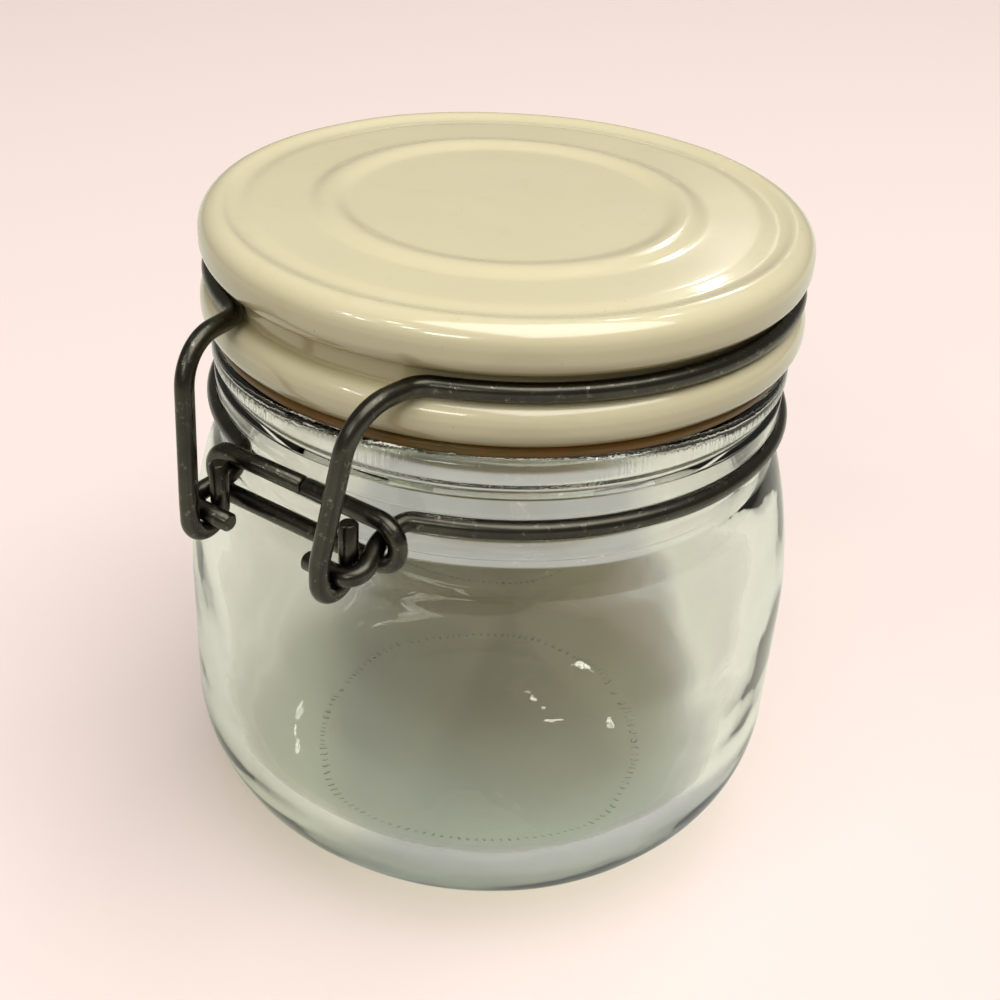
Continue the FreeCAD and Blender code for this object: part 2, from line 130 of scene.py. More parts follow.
# Shader maths
class Term:                     # a socket that can be added, multiplied and so on
    def __init__(self, finish, socket):
        self.finish, self.socket = finish, socket

    def maths(self, operation, first, second=0.0):
        return self.finish.add("ShaderNodeMath", {"operation": operation}, {0: first, 1: second})

    def __add__(self, other):
        return self.maths("ADD", self, other)

    def __radd__(self, other):
        return self.maths("ADD", other, self)

    def __sub__(self, other):
        return self.maths("SUBTRACT", self, other)

    def __rsub__(self, other):
        return self.maths("SUBTRACT", other, self)

    def __mul__(self, other):
        return self.maths("MULTIPLY", self, other)

    def __rmul__(self, other):
        return self.maths("MULTIPLY", other, self)

    def __truediv__(self, other):
        return self.maths("DIVIDE", self, other)

    def __rtruediv__(self, other):
        return self.maths("DIVIDE", other, self)

    def __pow__(self, other):
        return self.maths("POWER", self, other)

    def out(self, name):        # another output of the same node
        return Term(self.finish, self.socket.node.outputs[name])


class Finish:                   # one material and the tree it is built in
    def __init__(self, name):
        self.material = bpy.data.materials.new(name)
        self.material.use_nodes = True
        self.tree = self.material.node_tree
        self.tree.nodes.clear()

    def add(self, kind, settings=None, values=None, out=0):
        node = self.tree.nodes.new(kind)
        for key, value in (settings or {}).items():
            setattr(node, key, value)
        for key, value in (values or {}).items():
            if isinstance(value, Term):
                self.tree.links.new(value.socket, node.inputs[key])
            else:
                node.inputs[key].default_value = value
        return Term(self, node.outputs[out])

    def place(self, scale=(1, 1, 1)):       # the piece's own coordinates, in mm
        own = self.add("ShaderNodeTexCoord", out="Object")
        return self.add("ShaderNodeMapping", None, {"Vector": own, "Scale": [s / mm for s in scale]})

    def cloud(self, size, detail=3, scale=(1, 1, 1), rough=0.5):    # noise with lumps of that size in mm
        values = {"Vector": self.place(scale), "Scale": 1 / size, "Detail": detail, "Roughness": rough}
        return self.add("ShaderNodeTexNoise", None, values)

    def step(self, value, low, high):       # 0 below low, 1 above high, smooth between
        settings = {"interpolation_type": "SMOOTHSTEP"}
        return self.add("ShaderNodeMapRange", settings, {"Value": value, "From Min": low, "From Max": high})

    def blend(self, factor, first, second):     # inputs 6 and 7 and output 2 are the node's colours
        return self.add("ShaderNodeMix", {"data_type": "RGBA"}, {0: factor, 6: first, 7: second}, out=2)

    def bump(self, height, distance, strength=1.0, normal=None):
        values = {"Height": height, "Distance": distance * mm, "Strength": strength}
        if normal:
            values["Normal"] = normal
        return self.add("ShaderNodeBump", None, values)

    def close(self, surface, volume=None):
        node = self.tree.nodes.new("ShaderNodeOutputMaterial")
        self.tree.links.new(surface.socket, node.inputs["Surface"])
        if volume:
            self.tree.links.new(volume.socket, node.inputs["Volume"])
        return self.material


def srgb(red, green, blue):     # 0 to 255, as a linear colour
    parts = [c / 255 for c in (red, green, blue)]
    return [p / 12.92 if p <= 0.04045 else ((p + 0.055) / 1.055) ** 2.4 for p in parts] + [1]


# Geometry Nodes
def nodeTree(name, inputs):     # a new tree with its named inputs, and a function that adds nodes to it
    tree = bpy.data.node_groups.new(name, "GeometryNodeTree")
    for label, kind in inputs.items():
        tree.interface.new_socket(name=label, in_out="INPUT", socket_type="NodeSocket" + kind)
    tree.interface.new_socket(name="Geometry", in_out="OUTPUT", socket_type="NodeSocketGeometry")

    def node(kind, settings=None, values=None):
        made = tree.nodes.new(kind)
        for key, value in (settings or {}).items():
            setattr(made, key, value)
        for key, value in (values or {}).items():
            if isinstance(value, bpy.types.NodeSocket):
                tree.links.new(value, made.inputs[key])
            else:
                made.inputs[key].default_value = value
        return made

    return tree, node


def finished(tree, node, shape, finish):    # the last steps of every tree
    smooth = node("GeometryNodeSetShadeSmooth", None, {"Geometry": shape, "Shade Smooth": True}).outputs[0]
    real = node("GeometryNodeRealizeInstances", None, {"Geometry": smooth}).outputs[0]
    dressed = node("GeometryNodeSetMaterial", None, {"Geometry": real, "Material": finish}).outputs[0]
    node("NodeGroupOutput", None, {"Geometry": dressed})
    return tree


def baked(piece, tree, inputs):     # runs a node tree on a piece and keeps the plain mesh
    modifier = piece.modifiers.new(tree.name, "NODES")
    modifier.node_group = tree
    for item in tree.interface.items_tree:
        if item.in_out == "INPUT" and item.name in inputs:
            modifier[item.identifier] = inputs[item.name]
    seen = piece.evaluated_get(bpy.context.evaluated_depsgraph_get())
    mesh = bpy.data.meshes.new_from_object(seen)
    piece.modifiers.remove(modifier)
    piece.data = mesh
    return piece


# Glass jar
glassValues = {
    "wall": 6.0, "floor": 6.5, "floorRise": 0.8, "floorRound": 200, "floorEdge": 5, "floorEdgeRound": 8,
    "dishRadius": 24.0, "dishRise": 1.6, "dishRound": 120,
    "footRadius": 28.0, "footLift": 0.1, "footRound": 40, "heel": 24.0,
    "shoulderStart": 46.0, "shoulderRound": 85.3, "shoulderLean": 17.4,
    "upperRound": 15.0, "upperCorner": 73.7, "upperLean": 34.6,
    "neck": 48.3, "neckTop": 77.3, "neckRound": 1.2, "collar": 48.55, "collarSlope": 0.3, "collarRound": 0.2,
    "seat": 46.9, "seatLow": 81.3, "seatHigh": 84.7, "seatRound": 0.4, "seatEdgeRound": 0.6,
    "collarTop": 88.2, "crease": 47.4, "creaseZ": 89.1, "creaseRound": 0.5,
    "bead": 48.8, "beadLow": 91.0, "beadLowRound": 1.6, "beadRound": 2.3,
    "mouth": 43.2, "mouthRound": 0.9, "throatCorner": 74.7, "throatRound": 33.6, "around": 256,
    "outerWave": 0.05, "outerPattern": (3, 2, 18), "innerWave": 0.42, "innerPattern": (11, 1.3, 30),
    "finePattern": (17, 4, 9), "fineShare": 0.4, "floorShare": 0.5, "waveTop": 80, "stillRadius": 10,
    "tone": (254, 254, 252), "otherTone": (252, 252, 249), "roughness": 0.03, "ior": 1.5,
    "throughShadow": (240, 244, 236), "absorption": [0.725, 0.74, 0.69, 1], "density": 20.0,
    "waveDepth": 0.10, "streakDepth": 0.06, "streakStretch": (1.6, 1.6, 0.12), "streaksFrom": (88.5, 90.5),
    "pitDepth": 0.012,
}


def leaning(start, degrees, radius):    # the height where a line leaning inwards from start reaches a radius
    return start[1] + (start[0] - radius) / math.tan(math.radians(degrees))


def glassOutline(s):
    half = math.tan(math.radians(s["shoulderLean"] / 2))
    inner = bodyRadius - s["wall"]
    shoulder = (bodyRadius, s["shoulderStart"] + s["shoulderRound"] * half)
    rise = (s["upperCorner"] - shoulder[1]) * math.tan(math.radians(s["shoulderLean"]))
    upper = (bodyRadius - rise, s["upperCorner"])
    innerBend = s["shoulderRound"] - s["wall"]
    return roundedOutline([
        (0, s["dishRise"]),
        (s["dishRadius"] / 2, s["dishRise"], s["dishRound"]),
        (s["footRadius"], s["footLift"], s["footRound"]),
        (bodyRadius, s["footLift"] / 2, s["heel"]),
        (*shoulder, s["shoulderRound"]),
        (*upper, s["upperRound"]),
        (s["neck"], leaning(upper, s["upperLean"], s["neck"]), s["neckRound"]),
        (s["neck"], s["neckTop"], s["collarRound"]),
        (s["collar"], s["neckTop"] + s["collarSlope"], s["collarRound"]),
        (s["collar"], s["seatLow"], s["seatEdgeRound"]),
        (s["seat"], s["seatLow"], s["seatRound"]),
        (s["seat"], s["seatHigh"], s["seatRound"]),
        (s["collar"], s["seatHigh"], s["seatEdgeRound"]),
        (s["collar"], s["collarTop"], s["creaseRound"]),
        (s["crease"], s["creaseZ"], s["creaseRound"]),
        (s["bead"], s["beadLow"], s["beadLowRound"]),
        (s["bead"], rimHeight, s["beadRound"]),
        (s["mouth"], rimHeight, s["mouthRound"]),
        (s["mouth"], s["throatCorner"], s["throatRound"]),
        (inner, s["shoulderStart"] + innerBend * half, innerBend),
        (inner, s["floor"], s["heel"] - s["wall"]),
        (s["dishRadius"] + s["floorEdge"], s["floor"], s["floorEdgeRound"]),
        (s["dishRadius"] / 2, s["floor"] + s["floorRise"], s["floorRound"]),
        (0, s["floor"] + s["floorRise"]),
    ])


def glassWave(radius, angle, height):   # pressed glass is uneven inside and almost true outside
    s = glassValues
    inside = radius < bodyRadius - s["wall"] * 0.6 and s["floor"] - 0.5 < height < s["waveTop"]
    if not inside:
        return s["outerWave"] * rippleRound(s["outerPattern"], angle, height), 0
    fine = s["fineShare"] * rippleRound(s["finePattern"], angle, height)
    swell = rippleRound(s["innerPattern"], angle, height) + fine
    if height < s["floor"] + 1:
        return 0, s["innerWave"] * s["floorShare"] * swell * min(1, radius / s["stillRadius"])
    return s["innerWave"] * swell, 0


def glassFinish():
    s = glassValues
    f = Finish("clearGlass")
    height = f.add("ShaderNodeSeparateXYZ", None, {0: f.place()}).out("Z")
    onBead = f.step(height, *s["streaksFrom"])
    streaks = f.cloud(1.0, 2, s["streakStretch"]) * onBead      # fine upright streaks left by the mould
    skin = f.bump(f.cloud(13, 2), s["waveDepth"], 0.55)
    skin = f.bump(streaks, s["streakDepth"], 0.8, skin)
    skin = f.bump(f.cloud(2.2, 1) ** 3, s["pitDepth"], 0.6, skin)
    glass = f.add("ShaderNodeBsdfPrincipled", None, {
        "Base Color": f.blend(f.cloud(30, 1), srgb(*s["tone"]), srgb(*s["otherTone"])),
        "Roughness": f.step(f.cloud(9, 4), 0.35, 0.9) * s["roughness"],
        "IOR": s["ior"], "Transmission Weight": 1.0, "Normal": skin})
    clear = f.add("ShaderNodeBsdfTransparent", None, {"Color": srgb(*s["throughShadow"])})
    shadowRay = f.add("ShaderNodeLightPath", out="Is Shadow Ray")
    surface = f.add("ShaderNodeMixShader", None, {0: shadowRay, 1: glass, 2: clear})
    body = f.add("ShaderNodeVolumeAbsorption", None, {"Color": s["absorption"], "Density": s["density"]})
    return f.close(surface, body)


clearGlass = glassFinish()
jar = turned("clearJar", glassOutline(glassValues), glassValues["around"], glassWave)
jar.data.materials.append(clearGlass)
print("glass jar made,", len(jar.data.polygons), "faces")


# Ring of small bearing ribs pressed into the underside
ribValues = {
    "count": 126, "radius": 32.5, "height": 0.36, "long": 1.0, "wide": 0.27, "deep": 0.2, "smallest": 0.7,
    "seed": 7,
}


def ribTree():
    inputs = {"Count": "Int", "Radius": "Float", "Height": "Float", "Size": "Vector", "Seed": "Int",
              "Finish": "Material"}
    tree, node = nodeTree("ribsOnCircle", inputs)
    asked = node("NodeGroupInput").outputs
    circle = node("GeometryNodeMeshCircle", None,
                  {"Vertices": asked["Count"], "Radius": asked["Radius"]}).outputs[0]
    lift = node("ShaderNodeCombineXYZ", None, {2: asked["Height"]}).outputs[0]
    circle = node("GeometryNodeSetPosition", None, {"Geometry": circle, "Offset": lift}).outputs[0]
    rib = node("GeometryNodeMeshIcoSphere", None, {"Radius": 1.0, "Subdivisions": 2}).outputs[0]
    step = node("ShaderNodeMath", {"operation": "DIVIDE"}, {0: 2 * math.pi, 1: asked["Count"]}).outputs[0]
    index = node("GeometryNodeInputIndex").outputs[0]
    turn = node("ShaderNodeMath", {"operation": "MULTIPLY"}, {0: index, 1: step}).outputs[0]
    facing = node("ShaderNodeCombineXYZ", None, {2: turn}).outputs[0]
    share = node("FunctionNodeRandomValue", {"data_type": "FLOAT"},
                 {2: ribValues["smallest"], 3: 1.0, "Seed": asked["Seed"]}).outputs[1]
    size = node("ShaderNodeVectorMath", {"operation": "SCALE"},
                {0: asked["Size"], "Scale": share}).outputs[0]
    ribs = node("GeometryNodeInstanceOnPoints", None,
                {"Points": circle, "Instance": rib, "Rotation": facing, "Scale": size}).outputs[0]
    return finished(tree, node, ribs, asked["Finish"])


ribs = bpy.data.objects.new("baseRibs", bpy.data.meshes.new("baseRibs"))
bpy.context.scene.collection.objects.link(ribs)
baked(ribs, ribTree(), {
    "Count": ribValues["count"], "Radius": ribValues["radius"] * mm, "Height": ribValues["height"] * mm,
    "Size": [ribValues[side] * mm for side in ("long", "wide", "deep")], "Seed": ribValues["seed"],
    "Finish": clearGlass})
print("base ribs made,", len(ribs.data.polygons), "faces")


# Lid
lidValues = {
    "plug": 40.6, "plugRound": 1.6, "plugTopRound": 0.6,
    "hollow": 36.0, "ceiling": 109.0, "ceilingRound": 5.0, "flangeLow": 96.6, "flangeRound": 3.2,
    "grooveLow": 103.9, "grooveHigh": 107.7, "groove": 46.6, "grooveRound": 0.3,
    "rim": 50.0, "rimLowRound": 3.05, "rimRound": 3.7, "rimCorner": 114.95,
    "crest": 46.4, "crestZ": 116.0, "crestRound": 2.4,
    "channel": 44.2, "channelZ": 114.95, "channelRound": 4.6,
    "fieldEdge": 41.2, "fieldEdgeRound": 8, "field": 115.46,
    "ridge": 29.0, "ridgeHalf": 3.2, "ridgeRise": 1.1, "ridgeRound": 5.0, "longest": 1.8, "around": 256,
    "wave": 0.10, "wavePattern": (5, 17, 20), "stillRadius": 4, "edgeShare": 0.6, "edgePattern": (9, 22, 9),
    "tone": (226, 217, 184), "otherTone": (219, 210, 173), "patch": (212, 204, 160), "patchShare": 0.35,
    # the band values on the next line make the lid darker between two heights, over the groove
    "grooveBand": (188, 172, 118), "grooveBandShare": 0.5, "grooveBandTop": (109.5, 106.5), "grooveBandFoot": (103.0, 104.6),
    "speck": (150, 130, 86), "speckShare": 0.35, "roughness": (0.16, 0.10),
    "coat": 0.7, "coatRoughness": 0.035, "ior": 1.52, "peelDepth": 0.02, "swellDepth": 0.10,
}


def lidOutline(s):
    return roundedOutline([
        (0, s["ceiling"]),
        (s["hollow"], s["ceiling"], s["ceilingRound"]),
        (s["hollow"], lidLow.z, s["plugRound"]),
        (s["plug"], lidLow.z, s["plugRound"]),
        (s["plug"], s["flangeLow"], s["plugTopRound"]),
        (lidHigh.x, s["flangeLow"], s["flangeRound"]),
        (lidHigh.x, s["grooveLow"], s["flangeRound"]),
        (s["groove"], s["grooveLow"], s["grooveRound"]),
        (s["groove"], s["grooveHigh"], s["grooveRound"]),
        (s["rim"], s["grooveHigh"], s["rimLowRound"]),
        (s["rim"], s["rimCorner"], s["rimRound"]),
        (s["crest"], s["crestZ"], s["crestRound"]),
        (s["channel"], s["channelZ"], s["channelRound"]),
        (s["fieldEdge"], s["field"], s["fieldEdgeRound"]),
        (s["ridge"] + s["ridgeHalf"], s["field"], s["ridgeRound"]),
        (s["ridge"], s["field"] + s["ridgeRise"], s["ridgeRound"]),
        (s["ridge"] - s["ridgeHalf"], s["field"], s["ridgeRound"]),
        (0, s["field"]),
    ], longest=s["longest"])


def lidWave(radius, angle, height):     # a dipped glaze never lies dead flat
    s = lidValues
    x, y = radius * math.sin(angle), radius * math.cos(angle)
    seed, wide, high = s["wavePattern"]
    up = s["wave"] * ripple(seed, x / wide, y / wide, height / high) * min(1, radius / s["stillRadius"])
    seed, wide, high = s["edgePattern"]
    out = s["wave"] * s["edgeShare"] * ripple(seed, x / wide, y / wide, height / high)
    return out, up


def lidFinish():
    s = lidValues
    f = Finish("creamGlaze")
    height = f.add("ShaderNodeSeparateXYZ", None, {0: f.place()}).out("Z")
    tone = f.blend(f.cloud(26, 3), srgb(*s["tone"]), srgb(*s["otherTone"]))
    tone = f.blend(f.step(f.cloud(5, 4), 0.55, 0.8) * s["patchShare"], tone, srgb(*s["patch"]))
    grooveBand = f.step(height, *s["grooveBandTop"]) * f.step(height, *s["grooveBandFoot"])     # a darker band round the lid at the height of the groove
    tone = f.blend(grooveBand * s["grooveBandShare"], tone, srgb(*s["grooveBand"]))
    specks = f.step(f.cloud(0.7, 1), 0.76, 0.80)
    tone = f.blend(specks * s["speckShare"], tone, srgb(*s["speck"]))
    peel = f.bump(f.cloud(3.2, 2), s["peelDepth"], 0.35)
    peel = f.bump(f.cloud(14, 1), s["swellDepth"], 0.5, peel)
    least, spread = s["roughness"]
    surface = f.add("ShaderNodeBsdfPrincipled", None, {
        "Base Color": tone, "Roughness": least + f.cloud(8, 3) * spread, "Coat Weight": s["coat"],
        "Coat Roughness": s["coatRoughness"], "IOR": s["ior"], "Normal": peel})
    return f.close(surface)


lid = turned("glazedLid", lidOutline(lidValues), lidValues["around"], lidWave)
lid.data.materials.append(lidFinish())
print("lid made,", len(lid.data.polygons), "faces")


# Rubber ring
ringValues = {
    "inner": 41.0, "innerRound": 0.2, "edge": 0.8, "wave": 0.10, "wavePattern": (23, 5, 1),
    "seamAt": 27.0, "seamHalf": 1.2, "seamDepth": 0.35, "around": 360,
    "tone": (120, 84, 18), "otherTone": (98, 84, 20), "patch": (146, 76, 20), "patchShare": 0.5,
    "roughness": (0.34, 0.16), "softness": 0.35, "lightReach": [0.004, 0.002, 0.0006], "reachScale": 0.6,
    "grainDepth": 0.03,
}


def ringOutline(s):
    return roundedOutline([
        (s["inner"], ringLow.z, s["innerRound"]),
        (ringHigh.x, ringLow.z, s["edge"]),
        (ringHigh.x, ringHigh.z, s["edge"]),
        (s["inner"], ringHigh.z, s["innerRound"]),
    ], closed=True, longest=1.2, turnStep=0.3)


def ringWave(radius, angle, height):    # the edge wavers a little and has one mould seam
    s = ringValues
    away = abs((math.degrees(angle) - s["seamAt"] + 180) % 360 - 180)
    seam = -s["seamDepth"] * max(0, 1 - away / s["seamHalf"])
    share = max(0, (radius - s["inner"]) / (ringHigh.x - s["inner"]))
    return share * (s["wave"] * rippleRound(s["wavePattern"], angle, 0) - s["wave"] + seam), 0


def ringFinish():
    s = ringValues
    f = Finish("amberRubber")
    tone = f.blend(f.step(f.cloud(16, 3), 0.35, 0.7), srgb(*s["tone"]), srgb(*s["otherTone"]))
    tone = f.blend(f.step(f.cloud(6, 2), 0.5, 0.75) * s["patchShare"], tone, srgb(*s["patch"]))
    least, spread = s["roughness"]
    surface = f.add("ShaderNodeBsdfPrincipled", None, {
        "Base Color": tone, "Roughness": least + f.cloud(1.5, 3) * spread,
        "Subsurface Weight": s["softness"], "Subsurface Radius": s["lightReach"],
        "Subsurface Scale": s["reachScale"],
        "Normal": f.bump(f.cloud(0.8, 3), s["grainDepth"], 0.5)})
    return f.close(surface)


ring = turned("rubberRing", ringOutline(ringValues), ringValues["around"], ringWave, closed=True)
ring.data.materials.append(ringFinish())
print("rubber ring made")


# Wires: Geometry Nodes draw a round rod along each bent path
wireValues = {
    "thick": 3.0, "play": 0.2, "bevel": 0.35, "sides": 28, "step": 0.5, "closest": 0.02,
    "neckRing": 48.5, "neckZ": 83.0, "neckFront": 26, "neckBack": 17, "neckLead": 5.5, "neckLeadBend": 3.3,
    "pinZ": 78.5, "pinInner": 7.6, "pinOuter": 17.6, "pinBend": 2.6, "crank": 14.9, "crankBend": 4.5,
    "eyeX": 9.0, "eyeBend": 2.55, "barY": 50.9,
    "lidRing": 48.2, "lidZ": 105.5, "lidFront": 27, "lidBack": 24, "lidLead": 5.2, "lidLeadBend": 4.2,
    "hookX": 13.0, "hookTip": 85.6, "hookBend": 9, "armX": 16.0, "armLean": 0.4, "armBend": 8,
    "legX": 14.8, "legBend": 3.3, "legTopBend": 3.9, "barBend": 3.0,
    "linkY": 50.4, "linkZ": 80.9, "linkHalf": 18.5, "linkRise": 3.7, "buttAt": 0.4, "buttGap": 0.25,
    "tone": (60, 58, 51), "otherTone": (84, 82, 74), "scuff": (160, 156, 148), "scuffShare": 0.4,
    "roughness": 0.22, "lineRoughness": 0.14, "scuffGloss": 0.05,
    "lineStretch": 0.05, "linesRound": 7, "lineDepth": 0.02, "grainDepth": 0.02,
}


def bentPath(corners):          # corners are (point, bend): straight runs joined by tangent arcs
    points = [corners[0][0]]
    for (a, _), (b, bend), (c, _) in zip(corners, corners[1:], corners[2:]):
        into, out = (b - a).normalized(), (c - b).normalized()
        half = into.angle(out) / 2
        start = b - into * bend * math.tan(half)
        centre = b + (out - into).normalized() * bend / math.cos(half)
        spoke = start - centre
        steps = max(2, math.ceil(2 * half * bend / wireValues["step"]))
        for n in range(steps + 1):
            share = 2 * half * n / steps
            points.append(centre + spoke * math.cos(share) + into * bend * math.sin(share))
    return points + [corners[-1][0]]


def ringSpot(radius, z, fromBack):
    return Vector((radius * math.sin(fromBack), radius * math.cos(fromBack), z))


def ringPath(radius, z, front, back):
    steps = math.ceil(radius * (front - back) / wireValues["step"])
    return [ringSpot(radius, z, front + (back - front) * n / steps) for n in range(steps + 1)]


def backward(fromBack):         # the way round the ring towards the back, on the right side
    return Vector((-math.cos(fromBack), math.sin(fromBack), 0))


def bothSides(half):            # a half path from the clip to the middle of the back, and its mirror image
    return half + [Vector((-p.x, p.y, p.z)) for p in reversed(half)]


def neckPath():
    s = wireValues
    front, back = math.radians(180 - s["neckFront"]), math.radians(s["neckBack"])
    leave, leaveBack = (ringSpot(s["neckRing"], s["neckZ"], a) for a in (front, back))
    way = backward(back)
    corner = leaveBack + way * ((s["eyeX"] - leaveBack.x) / way.x)
    eye, far = s["thick"] + s["play"], hinge.y + s["thick"] + s["play"]
    low, high = hinge.z - eye, hinge.z + eye
    crank = [
        (Vector((s["pinInner"], -hinge.y, s["pinZ"])), 0),
        (Vector((s["pinOuter"], -hinge.y, s["pinZ"])), s["pinBend"]),
        (Vector((s["crank"], -s["linkY"], s["linkZ"])), s["crankBend"]),
        (leave - backward(front) * s["neckLead"], s["neckLeadBend"]),
        (leave, 0),
    ]
    loop = [
        (leaveBack, 0),
        (corner, s["eyeBend"]),
        (Vector((s["eyeX"], far, low)), eye),
        (Vector((s["eyeX"], far, high)), eye),
        (Vector((s["eyeX"], s["barY"], high)), s["eyeBend"]),
        (Vector((0, s["barY"], high)), 0),
    ]
    return bothSides(bentPath(crank) + ringPath(s["neckRing"], s["neckZ"], front, back) + bentPath(loop))


def lidPath():
    s = wireValues
    front, back = math.radians(180 - s["lidFront"]), math.radians(s["lidBack"])
    leave, leaveBack = (ringSpot(s["lidRing"], s["lidZ"], a) for a in (front, back))
    way = backward(back)
    corner = leaveBack + way * ((s["legX"] - leaveBack.x) / way.x)
    hook, x, y = s["thick"] + s["play"], s["hookX"], -hinge.y
    arm = [
        (Vector((x, y + hook, s["hookTip"])), 0),
        (Vector((x, y + hook, s["pinZ"] - hook)), hook),
        (Vector((x, y - hook, s["pinZ"] - hook)), hook),
        (Vector((x, y - hook, s["pinZ"] + s["thick"])), s["hookBend"]),
        (Vector((s["armX"], y + s["armLean"], s["lidZ"])), s["armBend"]),
        (leave - backward(front) * s["lidLead"], s["lidLeadBend"]),
        (leave, 0),
    ]
    bar = [
        (leaveBack, 0),
        (corner, s["legBend"]),
        (Vector((s["legX"], hinge.y, s["lidZ"])), s["legTopBend"]),
        (Vector((s["legX"], hinge.y, hinge.z)), s["barBend"]),
        (Vector((0, hinge.y, hinge.z)), 0),
    ]
    return bothSides(bentPath(arm) + ringPath(s["lidRing"], s["lidZ"], front, back) + bentPath(bar))


def linkPath():
    s = wireValues
    rise, gap = s["linkRise"], s["buttGap"] / 2
    places = [(s["buttAt"] + gap, 1), (s["linkHalf"], 1), (s["linkHalf"], -1), (-s["linkHalf"], -1),
              (-s["linkHalf"], 1), (s["buttAt"] - gap, 1)]
    return bentPath([(Vector((x, -s["linkY"], s["linkZ"] + up * rise)), rise) for x, up in places])


def rodTree():
    inputs = {"Geometry": "Geometry", "Radius": "Float", "End Bevel": "Float", "Sides": "Int",
              "Finish": "Material"}
    tree, node = nodeTree("rodAlongPath", inputs)
    asked = node("NodeGroupInput").outputs

    def maths(operation, first, second):
        return node("ShaderNodeMath", {"operation": operation}, {0: first, 1: second}).outputs[0]

    def named(shape, name, value):      # keeps a number on every point, for the finish
        return node("GeometryNodeStoreNamedAttribute", {"data_type": "FLOAT", "domain": "POINT"},
                    {"Geometry": shape, "Name": name, "Value": value}).outputs[0]

    curve = node("GeometryNodeMeshToCurve", None, {"Mesh": asked["Geometry"]}).outputs[0]
    along = node("GeometryNodeSplineParameter").outputs["Length"]
    whole = node("GeometryNodeSplineLength").outputs["Length"]
    left = maths("SUBTRACT", whole, along)
    nearest = maths("MINIMUM", along, left)
    thin = maths("SUBTRACT", asked["Radius"], asked["End Bevel"])
    grown = maths("ADD", thin, nearest)
    thick = maths("MINIMUM", grown, asked["Radius"])
    curve = named(curve, "alongWire", along)
    section = node("GeometryNodeCurvePrimitiveCircle", None,
                   {"Resolution": asked["Sides"], "Radius": 1.0}).outputs[0]
    turn = maths("DIVIDE", node("GeometryNodeInputIndex").outputs[0], asked["Sides"])
    section = named(section, "roundWire", turn)
    rod = node("GeometryNodeCurveToMesh", None,
               {"Curve": curve, "Profile Curve": section, "Scale": thick, "Fill Caps": True}).outputs[0]
    return finished(tree, node, rod, asked["Finish"])


def wire(name, path, tree, finish):
    bevel = wireValues["bevel"]
    first = path[0].lerp(path[1], bevel / (path[1] - path[0]).length)       # where the bevelled end begins
    last = path[-1].lerp(path[-2], bevel / (path[-2] - path[-1]).length)
    clean = [path[0]]
    for point in [first] + path[1:-1] + [last, path[-1]]:
        if (point - clean[-1]).length > wireValues["closest"]:
            clean.append(point)
    mesh = bpy.data.meshes.new(name)
    mesh.from_pydata([p * mm for p in clean], [(n, n + 1) for n in range(len(clean) - 1)], [])
    piece = bpy.data.objects.new(name, mesh)
    bpy.context.scene.collection.objects.link(piece)
    return baked(piece, tree, {"Radius": wireValues["thick"] / 2 * mm, "End Bevel": bevel * mm,
                               "Sides": wireValues["sides"], "Finish": finish})


def wireFinish():
    s = wireValues
    f = Finish("darkSteel")
    along = f.add("ShaderNodeAttribute", {"attribute_name": "alongWire"}, out="Fac") / mm
    around = f.add("ShaderNodeAttribute", {"attribute_name": "roundWire"}, out="Fac")
    angle = around * (2 * math.pi)
    drawn = f.add("ShaderNodeCombineXYZ", None, {
        0: along * s["lineStretch"],
        1: f.add("ShaderNodeMath", {"operation": "COSINE"}, {0: angle}) * s["linesRound"],
        2: f.add("ShaderNodeMath", {"operation": "SINE"}, {0: angle}) * s["linesRound"]})
    lines = f.add("ShaderNodeTexNoise", None, {"Vector": drawn, "Scale": 1.0, "Detail": 4, "Roughness": 0.6})
    scuffs = f.step(f.cloud(1.4, 4, rough=0.7), 0.56, 0.72)
    tone = f.blend(f.cloud(4, 3), srgb(*s["tone"]), srgb(*s["otherTone"]))
    tone = f.blend(scuffs * s["scuffShare"], tone, srgb(*s["scuff"]))
    skin = f.bump(lines, s["lineDepth"], 0.35)
    skin = f.bump(f.cloud(0.5, 3), s["grainDepth"], 0.25, skin)
    roughness = s["roughness"] + lines * s["lineRoughness"] - scuffs * s["scuffGloss"]
    surface = f.add("ShaderNodeBsdfPrincipled", None, {
        "Base Color": tone, "Metallic": 1.0, "Roughness": roughness, "Normal": skin})
    return f.close(surface)


rod = rodTree()
darkSteel = wireFinish()
neckWire = wire("neckWire", neckPath(), rod, darkSteel)
lidWire = wire("lidWire", lidPath(), rod, darkSteel)
clipLink = wire("clipLink", linkPath(), rod, darkSteel)
print("wires made,", sum(len(w.data.polygons) for w in (neckWire, lidWire, clipLink)), "faces")


# Every piece on its body; each but the ribs stands for a CAD node
for piece, body, node, slot in (
        (jar, "jar", "jar_glass", "clear_glass"),
        (ribs, "jar", None, "clear_glass"),
        (neckWire, "jar", "neck_wire", "dark_wire"),
        (clipLink, "jar", "clip_link", "dark_wire"),
        (lid, "lid_assembly", "lid", "glazed_lid"),
        (ring, "lid_assembly", "gasket", "rubber_ring"),
        (lidWire, "lid_assembly", "lid_wire", "dark_wire")):
    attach(piece, body)
    if node:
        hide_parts(node)


